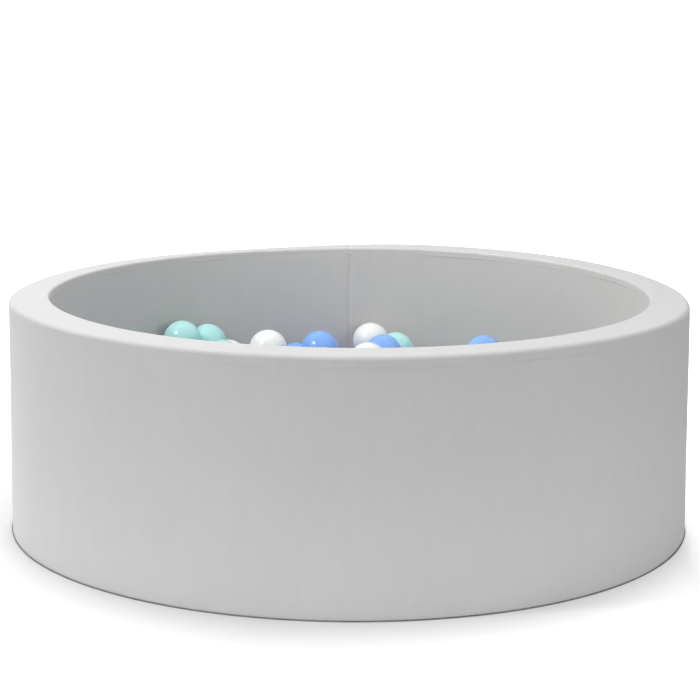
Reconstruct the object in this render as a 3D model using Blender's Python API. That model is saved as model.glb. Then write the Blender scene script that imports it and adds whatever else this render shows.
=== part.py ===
"""A round foam ball pit with a heap of play balls in it.

A foam ring in fabric covers stands on a base cover. A zip runs round the back of the outer cover.
A drop-in floor mat lies inside, and about 200 balls lie on it in a heap against the back.
Units are metres, +Z is up, the origin is the middle of the underside and the front faces -Y.
"""

import math

import bmesh
import bpy
import numpy as np
from mathutils import Matrix, Vector
from mathutils.bvhtree import BVHTree

# Fits and facets
fit_gap = 0.0003
merge_distance = 0.00001
cut_overrun = 0.004
ring_sides = 60
mat_sides = 40
arc_steps = 3
smooth_share = 1 / 9

# Foam wall and its covers
pit_radius = 0.450
pit_height = 0.310
wall_thickness = 0.050
cover_thickness = 0.003
base_thickness = 0.003
rim_outer_round = 0.010
rim_inner_round = 0.005
rim_skirt = 0.004
foam_segments = 4
foam_joint = 0.0006

# Zip round the back of the outer cover; its start and its run are counted in sides of the ring
zip_start_sides = 2
zip_run_sides = 26
zip_middle_height = 0.022
zip_window_height = 0.024
tape_opening = 0.0014
tape_thickness = 0.0006
coil_width = 0.0022
coil_thickness = 0.0007
stop_length = 0.003
stop_thickness = 0.0008

# Zip slider and pull tab
slider_length = 0.011
slider_width = 0.009
slider_skin = 0.0005
slider_plate = 0.0008
slider_neck_length = 0.004
slider_neck_width = 0.0008
slider_play = 0.0002
bridge_span = 0.007
bridge_post = 0.0012
bridge_rise = 0.0026
bridge_bar = 0.0009
pull_length = 0.024
pull_width = 0.007
pull_thickness = 0.0010
pull_eye_width = 0.004
pull_eye_length = 0.005
pull_eye_bar = 0.0012

# Floor mat
mat_wall_gap = 0.006
mat_thickness = 0.0267
mat_cover = 0.0015
piping_radius = 0.0028
piping_sides = 6
# The top panel's crown, and the flatter underside, as shares of the seam radius and half thickness
crown_shares = ((0, 1), (0.62, 0.99), (0.88, 0.965), (0.965, 0.85), (0.992, 0.5), (1, 0))
underside_shares = ((0, 1), (0.94, 1), (0.985, 0.7), (1, 0))

# Balls
ball_diameter = 0.055
ball_count = 200
separate_ball_count = 24
ball_wall_gap = 0.005
neck_radius = 0.0035
neck_sides = 3
neck_start_share = 0.6
hidden_ball_cover_count = 2
round_ball_split_count = 2
hidden_ball_split_count = 1
plain_ball_sides = 6
plain_ball_rings = 4

# Heap: a four-layer stack carries the blue ball, and the rest are dropped and roll to rest.
# Its places are shares of the inner radius, so that the heap keeps its place in a wider pit
heap_layers = 4
heap_seed = 770
heap_turn_angle = 0.6
blue_ball_shares = (0.48, 0.37375)
mint_drop_shares = (-0.6155, 0.5875)
mint_ball_order = 183
fill_centre_shares = (-0.125, 0.425)
fill_spread_shares = (0.45, 0.30)
roll_ways = 12
first_step_share = 1 / 3
last_step_share = 0.0004
level_share = 0.000001
contact_share = 1.05
sink_step_share = 0.003
pitch_digits = 9

# Worked out from the sizes above
full_turn = 2 * math.pi
half_turn = full_turn / 2
quarter_turn = full_turn / 4
inner_radius = pit_radius - wall_thickness
side_angle = full_turn / ring_sides
zip_start_angle = zip_start_sides * side_angle
zip_run_angle = zip_run_sides * side_angle
flat_share = math.cos(side_angle / 2)
outer_seam_height = pit_height - rim_outer_round - rim_skirt
inner_seam_height = pit_height - rim_inner_round - rim_skirt
backing_radius = pit_radius - cover_thickness - fit_gap
tape_radius = (backing_radius + fit_gap + slider_skin + slider_play) / flat_share
coil_radius = tape_radius + tape_thickness + fit_gap
plate_radius = coil_radius + coil_thickness + slider_play
mat_radius = inner_radius - mat_wall_gap
mat_floor = base_thickness + fit_gap
mat_half = mat_thickness / 2
mat_middle = mat_floor + mat_half
mat_seam_radius = mat_radius - 2 * piping_radius - fit_gap
ball_radius = ball_diameter / 2
ball_pitch = ball_diameter + fit_gap
heap_radius = inner_radius * flat_share - ball_radius - ball_wall_gap


def clear_scene():
    """Remove every object that the file opened with."""
    for obj in list(bpy.data.objects):
        bpy.data.objects.remove(obj, do_unlink=True)


def finish(name, color, roughness, metallic=0.0):
    """Make a Principled material."""
    material = bpy.data.materials.new(name)
    material.use_nodes = True
    shader = material.node_tree.nodes["Principled BSDF"]
    shader.inputs["Base Color"].default_value = (*color, 1)
    shader.inputs["Roughness"].default_value = roughness
    shader.inputs["Metallic"].default_value = metallic
    return material


def marker(name):
    """Add an empty at the origin, which is on the axis of what it carries."""
    empty = bpy.data.objects.new(name, None)
    bpy.context.collection.objects.link(empty)
    return empty


def to_object(name, bm, material, parent=None, place=(0, 0, 0)):
    """Turn a bmesh into a named object that is shaded smooth between flat faces."""
    bmesh.ops.recalc_face_normals(bm, faces=bm.faces)
    mesh = bpy.data.meshes.new(name)
    bm.to_mesh(mesh)
    bm.free()
    mesh.shade_smooth()
    mesh.set_sharp_from_angle(angle=full_turn * smooth_share)
    mesh.materials.append(material)
    obj = bpy.data.objects.new(name, mesh)
    obj.location = place
    obj.parent = parent
    bpy.context.collection.objects.link(obj)
    return obj


def as_cutter(obj):
    """Hide an object that only cuts or joins others."""
    obj.hide_render = True
    obj.display_type = "WIRE"
    return obj


def combine(obj, other, operation):
    """Join another object to this one, or cut it away, with an exact Boolean."""
    modifier = obj.modifiers.new(operation.lower(), "BOOLEAN")
    modifier.operation = operation
    modifier.solver = "EXACT"
    modifier.object = as_cutter(other)


def arc(centre, radius, start, end, steps=arc_steps):
    """Points of an arc in a profile of radius and height."""
    angles = [start + (end - start) * step / steps for step in range(steps + 1)]
    return [(centre[0] + radius * math.cos(angle), centre[1] + radius * math.sin(angle)) for angle in angles]


def turned(profile, sides=ring_sides, start=0.0, sweep=full_turn, steps=None):
    """Spin a profile of radius and height about Z, and close it into a solid."""
    bm = bmesh.new()
    verts = [bm.verts.new((r * math.cos(start), r * math.sin(start), z)) for r, z in profile]
    pairs = list(zip(verts, verts[1:]))
    if profile[0][0] or profile[-1][0]:
        pairs.append((verts[-1], verts[0]))
    edges = [bm.edges.new(pair) for pair in pairs]
    whole = sweep == full_turn
    bmesh.ops.spin(bm, geom=verts + edges, cent=(0, 0, 0), axis=(0, 0, 1), angle=sweep,
                   steps=steps or sides, use_merge=whole)
    if not whole:
        ends = [edge for edge in bm.edges if edge.is_boundary]
        bmesh.ops.holes_fill(bm, edges=ends)
    bmesh.ops.remove_doubles(bm, verts=bm.verts, dist=merge_distance)
    return bm


def band(inner, outer, low, high):
    """The profile of a plain band."""
    return [(inner, low), (outer, low), (outer, high), (inner, high)]


def rim_profile(outer_low, inner_low, skin):
    """The line over the top of the wall, a skin's depth inside its outer surface."""
    outer_centre = (pit_radius - rim_outer_round, pit_height - rim_outer_round)
    inner_centre = (inner_radius + rim_inner_round, pit_height - rim_inner_round)
    line = [(pit_radius - skin, outer_low)]
    line += arc(outer_centre, rim_outer_round - skin, 0, quarter_turn)
    line += arc(inner_centre, rim_inner_round - skin, quarter_turn, half_turn)
    line.append((inner_radius + skin, inner_low))
    return line


def make_foam_wall(material):
    """Four curved foam segments, glued end to end."""
    skin = cover_thickness + fit_gap
    floor = base_thickness + fit_gap
    profile = rim_profile(floor, floor, skin)
    sweep = full_turn / foam_segments
    joint_angle = foam_joint / pit_radius
    for number in range(foam_segments):
        bm = turned(profile, start=number * sweep + joint_angle / 2, sweep=sweep - joint_angle,
                    steps=ring_sides // foam_segments)
        to_object(f"foam_wall_{number + 1}", bm, material)


def make_covers(fabric, underside):
    """The outer, rim and inner covers and the base cover."""
    outer = to_object("outer_wall_cover", turned(band(
        pit_radius - cover_thickness, pit_radius, fit_gap, outer_seam_height - fit_gap)), fabric)
    end_angle = fit_gap / pit_radius
    window = turned(
        band(pit_radius - cover_thickness - cut_overrun, pit_radius + cut_overrun,
             zip_middle_height - zip_window_height / 2, zip_middle_height + zip_window_height / 2),
        start=zip_start_angle - end_angle, sweep=zip_run_angle + 2 * end_angle, steps=zip_run_sides)
    combine(outer, to_object("zip_window_cutter", window, fabric), "DIFFERENCE")
    outside = rim_profile(outer_seam_height, inner_seam_height, 0)
    inside = rim_profile(outer_seam_height, inner_seam_height, cover_thickness)
    to_object("rim_cover", turned(outside + inside[::-1]), fabric)
    to_object("inner_wall_cover", turned(band(
        inner_radius, inner_radius + cover_thickness, base_thickness + fit_gap,
        inner_seam_height - fit_gap)), fabric)
    base = [(0, 0), (backing_radius, 0), (backing_radius, base_thickness), (0, base_thickness)]
    to_object("base_cover", turned(base), underside)


def zip_band(low, high, radius, depth):
    """A band along the zip, on the same sides as the ring."""
    return turned(band(radius, radius + depth, low, high), start=zip_start_angle,
                  sweep=zip_run_angle, steps=zip_run_sides)


def zip_place(angle, radius):
    """Position and turn of a piece that sits on the zip at an angle round the pit."""
    return Matrix.Rotation(angle, 4, "Z") @ Matrix.Translation((radius, 0, zip_middle_height))


def block(bm, placing, depth, length, width):
    """Add a box: depth is radial from the placing's origin, length runs along the zip, width is up."""
    size = Matrix.Diagonal((depth[1] - depth[0], length[1] - length[0], width[1] - width[0], 1))
    middle = Vector(((depth[0] + depth[1]) / 2, (length[0] + length[1]) / 2, (width[0] + width[1]) / 2))
    bmesh.ops.create_cube(bm, size=1, matrix=placing @ Matrix.Translation(middle) @ size)


def make_zip_tapes(tape_cloth, coil_plastic, metal):
    """Two tapes in the cover's window, the coils along their near edges, and an end stop at each end."""
    half_opening = tape_opening / 2
    half_window = zip_window_height / 2 - fit_gap
    for name, side in (("upper", 1), ("lower", -1)):
        tape_edges = sorted((zip_middle_height + side * half_opening, zip_middle_height + side * half_window))
        coil_far = zip_middle_height + side * (half_opening + coil_width)
        coil_edges = sorted((zip_middle_height + side * half_opening, coil_far))
        to_object(f"zip_tape_{name}", zip_band(*tape_edges, tape_radius, tape_thickness), tape_cloth)
        to_object(f"zip_coil_{name}", zip_band(*coil_edges, coil_radius, coil_thickness), coil_plastic)
    stop_radius = coil_radius + coil_thickness + fit_gap
    stop_half = half_opening + coil_width
    inset = stop_length / pit_radius
    for name, angle in (("start", zip_start_angle + inset), ("end", zip_start_angle + zip_run_angle - inset)):
        bm = bmesh.new()
        block(bm, zip_place(angle, stop_radius), (0, stop_thickness), (-stop_length / 2, stop_length / 2),
              (-stop_half, stop_half))
        to_object(f"zip_stop_{name}", bm, metal)


def slider_angle():
    """Where the slider rests: just clear of the end stop."""
    travel = stop_length * 2 + slider_length / 2
    return zip_start_angle + travel / pit_radius


def make_slider(metal):
    """Slider: a plate inside the tapes, a neck between the coils, an outer plate and a bridge."""
    carrier = marker("slider_axis")
    placing = zip_place(slider_angle(), plate_radius)
    skin_outside = backing_radius + fit_gap + slider_skin - plate_radius
    half_length = slider_length / 2
    half_width = slider_width / 2
    half_post = bridge_post / 2
    neck = (slider_neck_length / 2, slider_neck_width / 2)
    bar_low = slider_plate + bridge_rise - bridge_bar
    boxes = {
        "slider_inner_plate": ((skin_outside - slider_skin, skin_outside), (-half_length, half_length),
                               (-half_width, half_width)),
        "slider_neck": ((skin_outside - slider_skin / 2, slider_plate / 2), (-neck[0], neck[0]),
                        (-neck[1], neck[1])),
        "slider_bar": ((bar_low, slider_plate + bridge_rise), (-bridge_span / 2, bridge_span / 2),
                       (-half_post, half_post)),
        "slider_near_post": ((slider_plate / 2, bar_low + bridge_bar / 2),
                             (-bridge_span / 2 + fit_gap, -bridge_span / 2 + bridge_post),
                             (-half_post + fit_gap, half_post - fit_gap)),
        "slider_far_post": ((slider_plate / 2, bar_low + bridge_bar / 2),
                            (bridge_span / 2 - bridge_post, bridge_span / 2 - fit_gap),
                            (-half_post + fit_gap, half_post - fit_gap)),
    }
    bm = bmesh.new()
    block(bm, placing, (0, slider_plate), (-half_length, half_length), (-half_width, half_width))
    slider = to_object("zip_slider", bm, metal, carrier)
    for name, (depth, length, width) in boxes.items():
        bm = bmesh.new()
        block(bm, placing, depth, length, width)
        combine(slider, to_object(name, bm, metal, carrier), "UNION")


def make_pull(metal):
    """Pull tab: a flat tab whose eye goes round the slider's bridge, lying along the zip."""
    hinge = zip_place(slider_angle(), plate_radius + slider_plate + fit_gap + pull_thickness / 2)
    half_thickness = pull_thickness / 2
    half_bar = pull_eye_bar / 2
    half_width = pull_width / 2
    bm = bmesh.new()
    block(bm, Matrix(), (-half_thickness, half_thickness), (-half_bar, pull_length - half_bar),
          (-half_width, half_width))
    tab = to_object("zip_pull", bm, metal)
    tab.matrix_world = hinge
    bm = bmesh.new()
    block(bm, Matrix(), (-half_thickness - cut_overrun, half_thickness + cut_overrun),
          (half_bar, half_bar + pull_eye_length), (-pull_eye_width / 2, pull_eye_width / 2))
    eye = to_object("zip_pull_eye", bm, metal)
    eye.matrix_world = hinge
    combine(tab, eye, "DIFFERENCE")


def mat_line(shares, skin, side):
    """The mat's section on one side of its middle, a skin's depth inside its surface."""
    radius = mat_seam_radius - skin
    half = mat_half - skin
    lift = fit_gap / 2
    return [(radius * r, mat_middle + side * (lift + (half - lift) * h)) for r, h in shares]


def make_mat(foam, fabric, underside):
    """Round floor mat: foam, a crowned top cover, a flat bottom cover and the piping at their seam."""
    foam_skin = mat_cover + fit_gap
    top = mat_line(crown_shares, foam_skin, 1)[:-1]
    bottom = mat_line(underside_shares, foam_skin, -1)
    to_object("mat_foam", turned(top + bottom[::-1], mat_sides), foam)
    for name, shares, side, cloth in (("mat_top_cover", crown_shares, 1, fabric),
                                      ("mat_bottom_cover", underside_shares, -1, underside)):
        outside = mat_line(shares, 0, side)
        inside = mat_line(shares, mat_cover, side)
        to_object(name, turned(outside + inside[::-1], mat_sides), cloth)
    centre = (mat_radius - piping_radius, mat_middle)
    ring = arc(centre, piping_radius, 0, full_turn, piping_sides)[:-1]
    to_object("mat_piping", turned(ring, mat_sides), fabric)


def in_pitches(length):
    """A length counted in ball pitches, so that the heap keeps its shape when all sizes are scaled."""
    return np.round(np.asarray(length) / ball_pitch, pitch_digits)


def across_pit(shares):
    """Shares of the inner radius, counted in ball pitches."""
    return in_pitches(np.array(shares) * inner_radius)


def mat_rest(places):
    """Height of a ball's centre where it lies on the mat."""
    shares = np.array(crown_shares)
    radii = in_pitches(mat_seam_radius * shares[:, 0])
    heights = in_pitches(mat_middle + mat_half * shares[:, 1] + fit_gap + ball_radius)
    return np.interp(np.hypot(places[:, 0], places[:, 1]), radii, heights)


def touch_heights(places, balls):
    """Height of a ball's centre at each place where it first touches the mat or a ball below."""
    offsets = balls[None, :, :2] - places[:, None, :]
    under = 1 - (offsets ** 2).sum(axis=2)
    tops = np.where(under > 0, balls[None, :, 2] + np.sqrt(np.maximum(under, 0)), 0)
    return np.maximum(tops.max(axis=1), mat_rest(places))


def settle(place, balls):
    """Let a ball roll downhill from a place until it lies in a hollow."""
    limit = in_pitches(heap_radius)
    turns = np.arange(roll_ways) * full_turn / roll_ways
    ways = np.column_stack((np.cos(turns), np.sin(turns)))
    height = touch_heights(place[None], balls)[0]
    step = first_step_share
    while step > last_step_share:
        spots = place + ways * step
        reach = np.hypot(spots[:, 0], spots[:, 1])
        spots *= np.minimum(1, limit / reach)[:, None]
        heights = touch_heights(spots, balls)
        lowest = heights.argmin()
        if heights[lowest] < height - level_share:
            place, height = spots[lowest], heights[lowest]
        else:
            step /= 2
    return np.append(place, height)


def pyramid():
    """A close-packed stack with the blue ball on top: 1, 3, 6 and 10 balls, in pitches."""
    rise = math.sqrt(2 / 3)
    top = in_pitches(mat_middle + mat_half + fit_gap + ball_radius) + (heap_layers - 1) * rise
    place = across_pit(blue_ball_shares)
    across = np.array((math.cos(heap_turn_angle), math.sin(heap_turn_angle)))
    back = np.array((-math.sin(heap_turn_angle), math.cos(heap_turn_angle)))
    balls = []
    for layer in range(heap_layers):
        corner = place - layer * (across / 2 + back / (2 * math.sqrt(3)))
        for row in range(layer + 1):
            for column in range(layer + 1 - row):
                spot = corner + across * (column + row / 2) + back * row * math.sqrt(3) / 2
                balls.append((*spot, top - layer * rise))
    return np.array(balls)


def heap():
    """Centres of all the balls, in metres. The mint ball is one of those dropped, in its turn."""
    rng = np.random.default_rng(heap_seed)
    balls = pyramid()
    limit = in_pitches(heap_radius)
    shown = [0, mint_ball_order]
    while len(balls) < ball_count:
        if len(balls) == mint_ball_order:
            spot = across_pit(mint_drop_shares)
        else:
            spot = across_pit(fill_centre_shares) + rng.normal(size=2) * across_pit(fill_spread_shares)
            if math.hypot(*spot) > limit:
                continue
        ball = settle(spot, balls)
        on_top = [math.dist(ball[:2], balls[k][:2]) < 1 and ball[2] > balls[k][2]
                  for k in shown if k < len(balls)]
        if not any(on_top):
            balls = np.vstack((balls, ball))
    return balls * ball_pitch


def covers_above(balls):
    """How many balls lie over each ball, so that it can't be lifted straight out."""
    flat = np.hypot(balls[:, None, 0] - balls[None, :, 0], balls[:, None, 1] - balls[None, :, 1])
    higher = balls[None, :, 2] > balls[:, None, 2] + ball_pitch * level_share
    return ((flat < ball_pitch) & higher).sum(axis=1)


def contact_tree(balls, members):
    """Contacts that link the members into groups with no loops, and each member's group."""
    group = {member: member for member in members}
    links = []

    def root(member):
        while group[member] != member:
            member = group[member]
        return member

    for count, first in enumerate(members):
        for second in members[count + 1:]:
            if math.dist(balls[first], balls[second]) < ball_pitch * contact_share:
                ends = root(first), root(second)
                if ends[0] != ends[1]:
                    group[ends[1]] = ends[0]
                    links.append((first, second))
    return links, {member: root(member) for member in members}


def add_round_ball(bm, place, split_count):
    """An icosphere, with a point at its foot."""
    bmesh.ops.create_icosphere(bm, subdivisions=split_count, radius=ball_radius,
                               matrix=Matrix.Translation(place))


def add_plain_ball(bm, place):
    """A coarser ball for the lower part of the heap, with a point at its foot too."""
    bmesh.ops.create_uvsphere(bm, u_segments=plain_ball_sides, v_segments=plain_ball_rings,
                              radius=ball_radius, matrix=Matrix.Translation(place))


def add_neck(bm, first, second):
    """A short neck that joins two touching balls."""
    way = second - first
    length = way.length - 2 * neck_start_share * ball_radius
    turn = way.to_track_quat("Z", "Y").to_matrix().to_4x4()
    bmesh.ops.create_cone(bm, cap_ends=True, segments=neck_sides, radius1=neck_radius, radius2=neck_radius,
                          depth=length, matrix=Matrix.Translation((first + second) / 2) @ turn)


def seat(ball, place, obstacles):
    """Lower a faceted ball from its place until it all but touches the balls or the mat under it."""
    padded = ball.copy()
    padding = (ball_radius + fit_gap) / ball_radius
    bmesh.ops.scale(padded, vec=(padding, padding, padding), verts=padded.verts)
    bmesh.ops.translate(padded, vec=place, verts=padded.verts)
    step = ball_diameter * sink_step_share
    lowest = mat_rest(in_pitches(place)[None])[0] * ball_pitch
    drop = 0
    while place[2] - drop - step > lowest:
        bmesh.ops.translate(padded, vec=(0, 0, -step), verts=padded.verts)
        if any(BVHTree.FromBMesh(padded).overlap(tree) for tree in obstacles):
            break
        drop += step
    padded.free()
    return Vector((place[0], place[1], place[2] - drop))


def sort_balls(balls, covers):
    """Which balls are pieces of their own, which are joined and the contacts that join them.

    The two that are placed, the highest free balls and the strays on the mat stay separate.
    """
    shown = [mint_ball_order, 0]
    free = [int(k) for k in np.argsort(-balls[:, 2]) if not covers[k] and k not in shown]
    for free_count in range(separate_ball_count - len(shown), -1, -1):
        loose = shown + free[:free_count]
        members = [k for k in range(len(balls)) if k not in loose]
        links, groups = contact_tree(balls, members)
        names = list(groups.values())
        main_group = max(set(names), key=names.count)
        strays = [k for k in members if groups[k] != main_group]
        if len(loose) + len(strays) <= separate_ball_count:
            break
    joined = [k for k in members if groups[k] == main_group]
    return loose + strays, joined, [link for link in links if groups[link[0]] == main_group]


def make_balls(joined_plastic, plastics):
    """The lower balls joined at their contacts, and each ball that lies free on top as its own piece."""
    balls = heap()
    covers = covers_above(balls)
    separate, joined, links = sort_balls(balls, covers)
    bed = bmesh.new()
    necks = bmesh.new()
    for k in joined:
        if covers[k] >= hidden_ball_cover_count:
            add_round_ball(bed, balls[k], hidden_ball_split_count)
        else:
            add_plain_ball(bed, balls[k])
    for first, second in links:
        add_neck(necks, Vector(balls[first]), Vector(balls[second]))
    obstacles = [BVHTree.FromBMesh(bed)]
    bed_object = to_object("ball_bed", bed, joined_plastic)
    combine(bed_object, to_object("ball_necks", necks, joined_plastic), "UNION")
    for number, k in enumerate(separate):
        bm = bmesh.new()
        add_round_ball(bm, (0, 0, 0), round_ball_split_count)
        place = seat(bm, balls[k], obstacles)
        solid = bm.copy()
        bmesh.ops.translate(solid, vec=place, verts=solid.verts)
        obstacles.append(BVHTree.FromBMesh(solid))
        solid.free()
        to_object(f"ball_{number + 1:02d}", bm, plastics[number % len(plastics)], place=place)
    print("balls:", len(balls), "joined:", len(joined), "separate:", len(separate))


def main():
    clear_scene()
    fabric = finish("grey_velour", (0.62, 0.62, 0.62), 0.9)
    underside = finish("non_slip_fabric", (0.35, 0.35, 0.36), 0.85)
    foam = finish("foam", (0.85, 0.84, 0.78), 0.95)
    tape_cloth = finish("zip_tape", (0.55, 0.55, 0.55), 0.85)
    coil_plastic = finish("zip_coil", (0.5, 0.5, 0.5), 0.5)
    metal = finish("zip_metal", (0.7, 0.7, 0.72), 0.35, 1.0)
    mint = finish("mint_plastic", (0.35, 0.80, 0.72), 0.3)
    blue = finish("blue_plastic", (0.20, 0.45, 0.90), 0.3)
    white = finish("white_plastic", (0.85, 0.86, 0.87), 0.3)
    make_foam_wall(foam)
    make_covers(fabric, underside)
    make_zip_tapes(tape_cloth, coil_plastic, metal)
    make_slider(metal)
    make_pull(metal)
    make_mat(foam, fabric, underside)
    make_balls(white, (mint, blue, white))


main()
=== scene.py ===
"""The looks of a round foam ball pit: its fabric covers, zip, floor mat and play balls.

The frame gives every piece its size and place. Units are metres, +Z is up and the front faces -Y.
"""

import math

import bmesh
import bpy
import numpy as np
from mathutils import Matrix, Vector


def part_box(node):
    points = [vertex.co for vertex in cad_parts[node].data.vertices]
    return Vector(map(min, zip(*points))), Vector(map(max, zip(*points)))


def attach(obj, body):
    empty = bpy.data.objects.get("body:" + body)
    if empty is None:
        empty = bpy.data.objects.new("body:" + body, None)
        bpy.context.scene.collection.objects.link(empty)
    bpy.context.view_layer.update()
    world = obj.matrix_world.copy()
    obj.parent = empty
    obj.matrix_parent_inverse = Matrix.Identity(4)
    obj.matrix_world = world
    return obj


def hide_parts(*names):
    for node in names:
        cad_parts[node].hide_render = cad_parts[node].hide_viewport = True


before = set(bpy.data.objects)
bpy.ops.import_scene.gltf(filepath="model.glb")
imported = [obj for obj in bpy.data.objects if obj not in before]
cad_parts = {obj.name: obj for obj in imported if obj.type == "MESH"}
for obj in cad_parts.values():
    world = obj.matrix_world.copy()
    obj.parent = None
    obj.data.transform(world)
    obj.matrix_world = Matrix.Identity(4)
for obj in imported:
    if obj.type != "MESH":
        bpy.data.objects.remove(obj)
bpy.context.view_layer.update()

full_turn = 2 * math.pi


def points_of(mesh):
    """A mesh's points, one in each row."""
    return np.array([v.co for v in mesh.vertices])


def span(node):
    """Least and greatest radius, then lowest and highest point, of a CAD node."""
    co = points_of(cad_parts[node].data)
    radii = np.hypot(co[:, 0], co[:, 1])
    return radii.min(), radii.max(), co[:, 2].min(), co[:, 2].max()


def corner_angles(node):
    """The angles round the pit between which a CAD node lies."""
    co = points_of(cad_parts[node].data)
    angles = np.arctan2(co[:, 1], co[:, 0])
    return angles.min(), angles.max()


# Sizes of the wall and its covers, from the frame
pit_radius = span("rim_cover")[1]
inner_radius = span("inner_wall_cover")[0]
pit_height = span("rim_cover")[3]
outer_seam_height = span("outer_wall_cover")[3]
inner_seam_height = span("inner_wall_cover")[3]
inner_foot_height = span("inner_wall_cover")[2]

# Cloth
cloth_thickness = 0.0010
cloth_columns = 480
cloth_row = 0.006
angle_digits = 7
rim_outer_round = 0.006
rim_inner_round = 0.0035
rim_outer_steps = 10
rim_inner_steps = 7
rim_side_row = 0.002
rim_top_row = 0.004
rim_uneven_share = 0.5
inner_bulge = 0.0020
hem_round = 0.0010
hem_height = 0.0011
hem_steps = 4
# How far the dark cloth under the pit sticks out past the wall's foot. This real edge of the base
# also stands in for the contact shadow, as a painted dark line at the foot
base_shadow_lip = 0.0013
base_middle = 0.02
base_row = 0.03
base_edge_run = 0.01
base_edge_steps = 6
base_columns = 360
seam_roll = 0.00018
seam_roll_reach = 4
seam_roll_corner = 0.3
side_seam_angle = full_turn / 4
side_seam_width = 0.0022
side_seam_depth = 0.0009
side_seam_columns = (0.0006, 0.0014, 0.0024, 0.0040)
sway_height = 0.00022
sway_waves = 9
sway_counts = (2, 15)
sway_rates = (4, 30)
sway_fading = 3
sway_calm_rows = 4
sway_seed = 11

# Foam segments
foam_inner, foam_outer, foam_foot, foam_top = span("foam_wall_1")
foam_segments = 4
foam_gap = 0.0004
foam_outer_round = 0.006
foam_inner_round = 0.003
foam_outer_steps = 4
foam_inner_steps = 3
foam_columns = 60

# How the soft wall differs from the even solids in the photo. Each place where the rim has sunk
# has the four angles, in degrees, at which that starts, is full, is full no more and ends, and
# then its depth at the outer and at the inner edge. The foot is wider between wide_angles
sunk_places = (
    ((72, 112, 165, 205), 0.0080, 0.0030),
    ((-55, -4, 4, 50), 0.0040, 0.0004),
)
sunk_from_height = 0.10
wide_angles = (170, 215, 350, 370)
wide_foot = 0.0050

# Zip. The solids have flat sides, so the tape's own radius is a little greater than the least one
tape_half_side = full_turn / 120
tape_radius = span("zip_tape_upper")[0] / math.cos(tape_half_side)
zip_low, zip_high = span("zip_tape_lower")[2], span("zip_tape_upper")[3]
zip_middle = (span("zip_tape_lower")[3] + span("zip_tape_upper")[2]) / 2
zip_start, zip_end = corner_angles("zip_tape_upper")
zip_slot_half = 0.0062
zip_slot_slack = 1e-6
tape_thickness = 0.0005
tape_edge = 0.0006
tooth_pitch = 0.00130
tooth_length = 0.00085
tooth_width = 0.0024
tooth_height = 0.0009
tooth_clear = 0.0005
tooth_shift = 0.25
tooth_sides = 6
stitch_pitch = 0.0036
stitch_length = 0.0028
stitch_radius = 0.00022
stitch_stand = 0.4
stitch_inset = 0.0022
stitch_sides = 6
metal_bevel = 0.0003
pull_eye_start = 0.0012
pull_eye_end = 0.0062
pull_eye_half = 0.0020
pull_eye_round = 0.0008
pull_waist_place = 0.0115
pull_waist = 0.66
pull_end_run = 0.006
pull_rounds = (0.0012, 0.002, 0.0024, 0.0026, 0.0026)
pull_edge = 0.0002
outline_step = 0.0002
corner_points = 9

# Floor mat
mat_low, mat_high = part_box("mat_bottom_cover")[0].z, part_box("mat_top_cover")[1].z
mat_seam_radius = span("mat_top_cover")[1]
mat_middle = (mat_low + mat_high) / 2
mat_half = (mat_high - mat_low) / 2
mat_crown = 0.01
mat_edge_power = 9
mat_rings = 40
mat_ring_power = 1.8
mat_columns = 280
mat_cloth = 0.0012
mat_seam_half = 0.0002
mat_sag = 0.0010
mat_calm_radius = 0.12
core_gap = 0.0006
core_columns = 120
pucker_height = 0.0009
pucker_reach = 0.016
pucker_waves = 96
pucker_shares = (1, 0.71, 0.43)
piping_radius = (span("mat_piping")[3] - span("mat_piping")[2]) / 2
piping_ring_radius = span("mat_piping")[1] - piping_radius
piping_sides = 12

# Balls and the heap they lie in, as the solids have them
ball_diameter = 0.055
ball_count = 200
fit_gap = 0.0003
ball_wall_gap = 0.005
ring_sides = 60
crown_shares = ((0, 1), (0.62, 0.99), (0.88, 0.965), (0.965, 0.85), (0.992, 0.5), (1, 0))
heap_layers = 4
heap_seed = 770
heap_turn_angle = 0.6
blue_ball_shares = (0.48, 0.37375)
mint_drop_shares = (-0.6155, 0.5875)
mint_ball_order = 183
fill_centre_shares = (-0.125, 0.425)
fill_spread_shares = (0.45, 0.30)
roll_ways = 12
first_step_share = 1 / 3
last_step_share = 0.0004
level_share = 0.000001
pitch_digits = 9
ball_radius = ball_diameter / 2
ball_pitch = ball_diameter + fit_gap
heap_radius = inner_radius * math.cos(full_turn / ring_sides / 2) - ball_radius - ball_wall_gap

# The solids' own sizes that the heap is worked out from, rounded as meshes hold them
heap_inner_radius = round(float(inner_radius), 5)
heap_mat_radius = round(float(mat_seam_radius), 5)
heap_mat_middle = 0.01665
heap_mat_half = 0.01335

# The look of a ball
ball_segments = 44
ball_rings = 11
mould_line_height = 0.00012
mould_line_width = 0.0006
mould_line_foot = 2.5
gate_radius = 0.0017
gate_depth = 0.00025
gate_floor_share = 0.7
gate_foot_share = 1.6

# Colours. The inner side of the wall has a painted warm tint, set against the blue light that the
# balls bounce onto it
grey = (0.60, 0.60, 0.60)
inner_grey_against_ball_light = (0.622, 0.600, 0.582)
underside_grey = (0.25, 0.25, 0.255)
foam_cream = (0.80, 0.76, 0.62)
tape_grey = (0.45, 0.45, 0.45)
thread_grey = (0.55, 0.55, 0.55)
nylon_grey = (0.50, 0.50, 0.50)
nickel_grey = (0.56, 0.56, 0.57)
ball_colours = {
    "mint": (0.43, 0.745, 0.725),
    "blue": (0.225, 0.44, 0.87),
    "white": (0.82, 0.83, 0.84),
}
loose_colours = ("mint", "blue", "white")
heap_colours = ("mint", "white", "blue", "white", "white")
tape_yarn = 0.0006
thread_yarn = 0.0003
thread_roughness = 0.6
rib_divisor = 6.28

# Camera: the photograph's, in pixels of its 700 by 700 frame
photo_width = 700
focal_pixels = 2009.3
sensor_width = 36.0
camera_place = (0.0013, -2.6539, 0.7542)
camera_pitch = math.radians(11.217)
camera_roll = math.radians(0.464)

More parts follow.
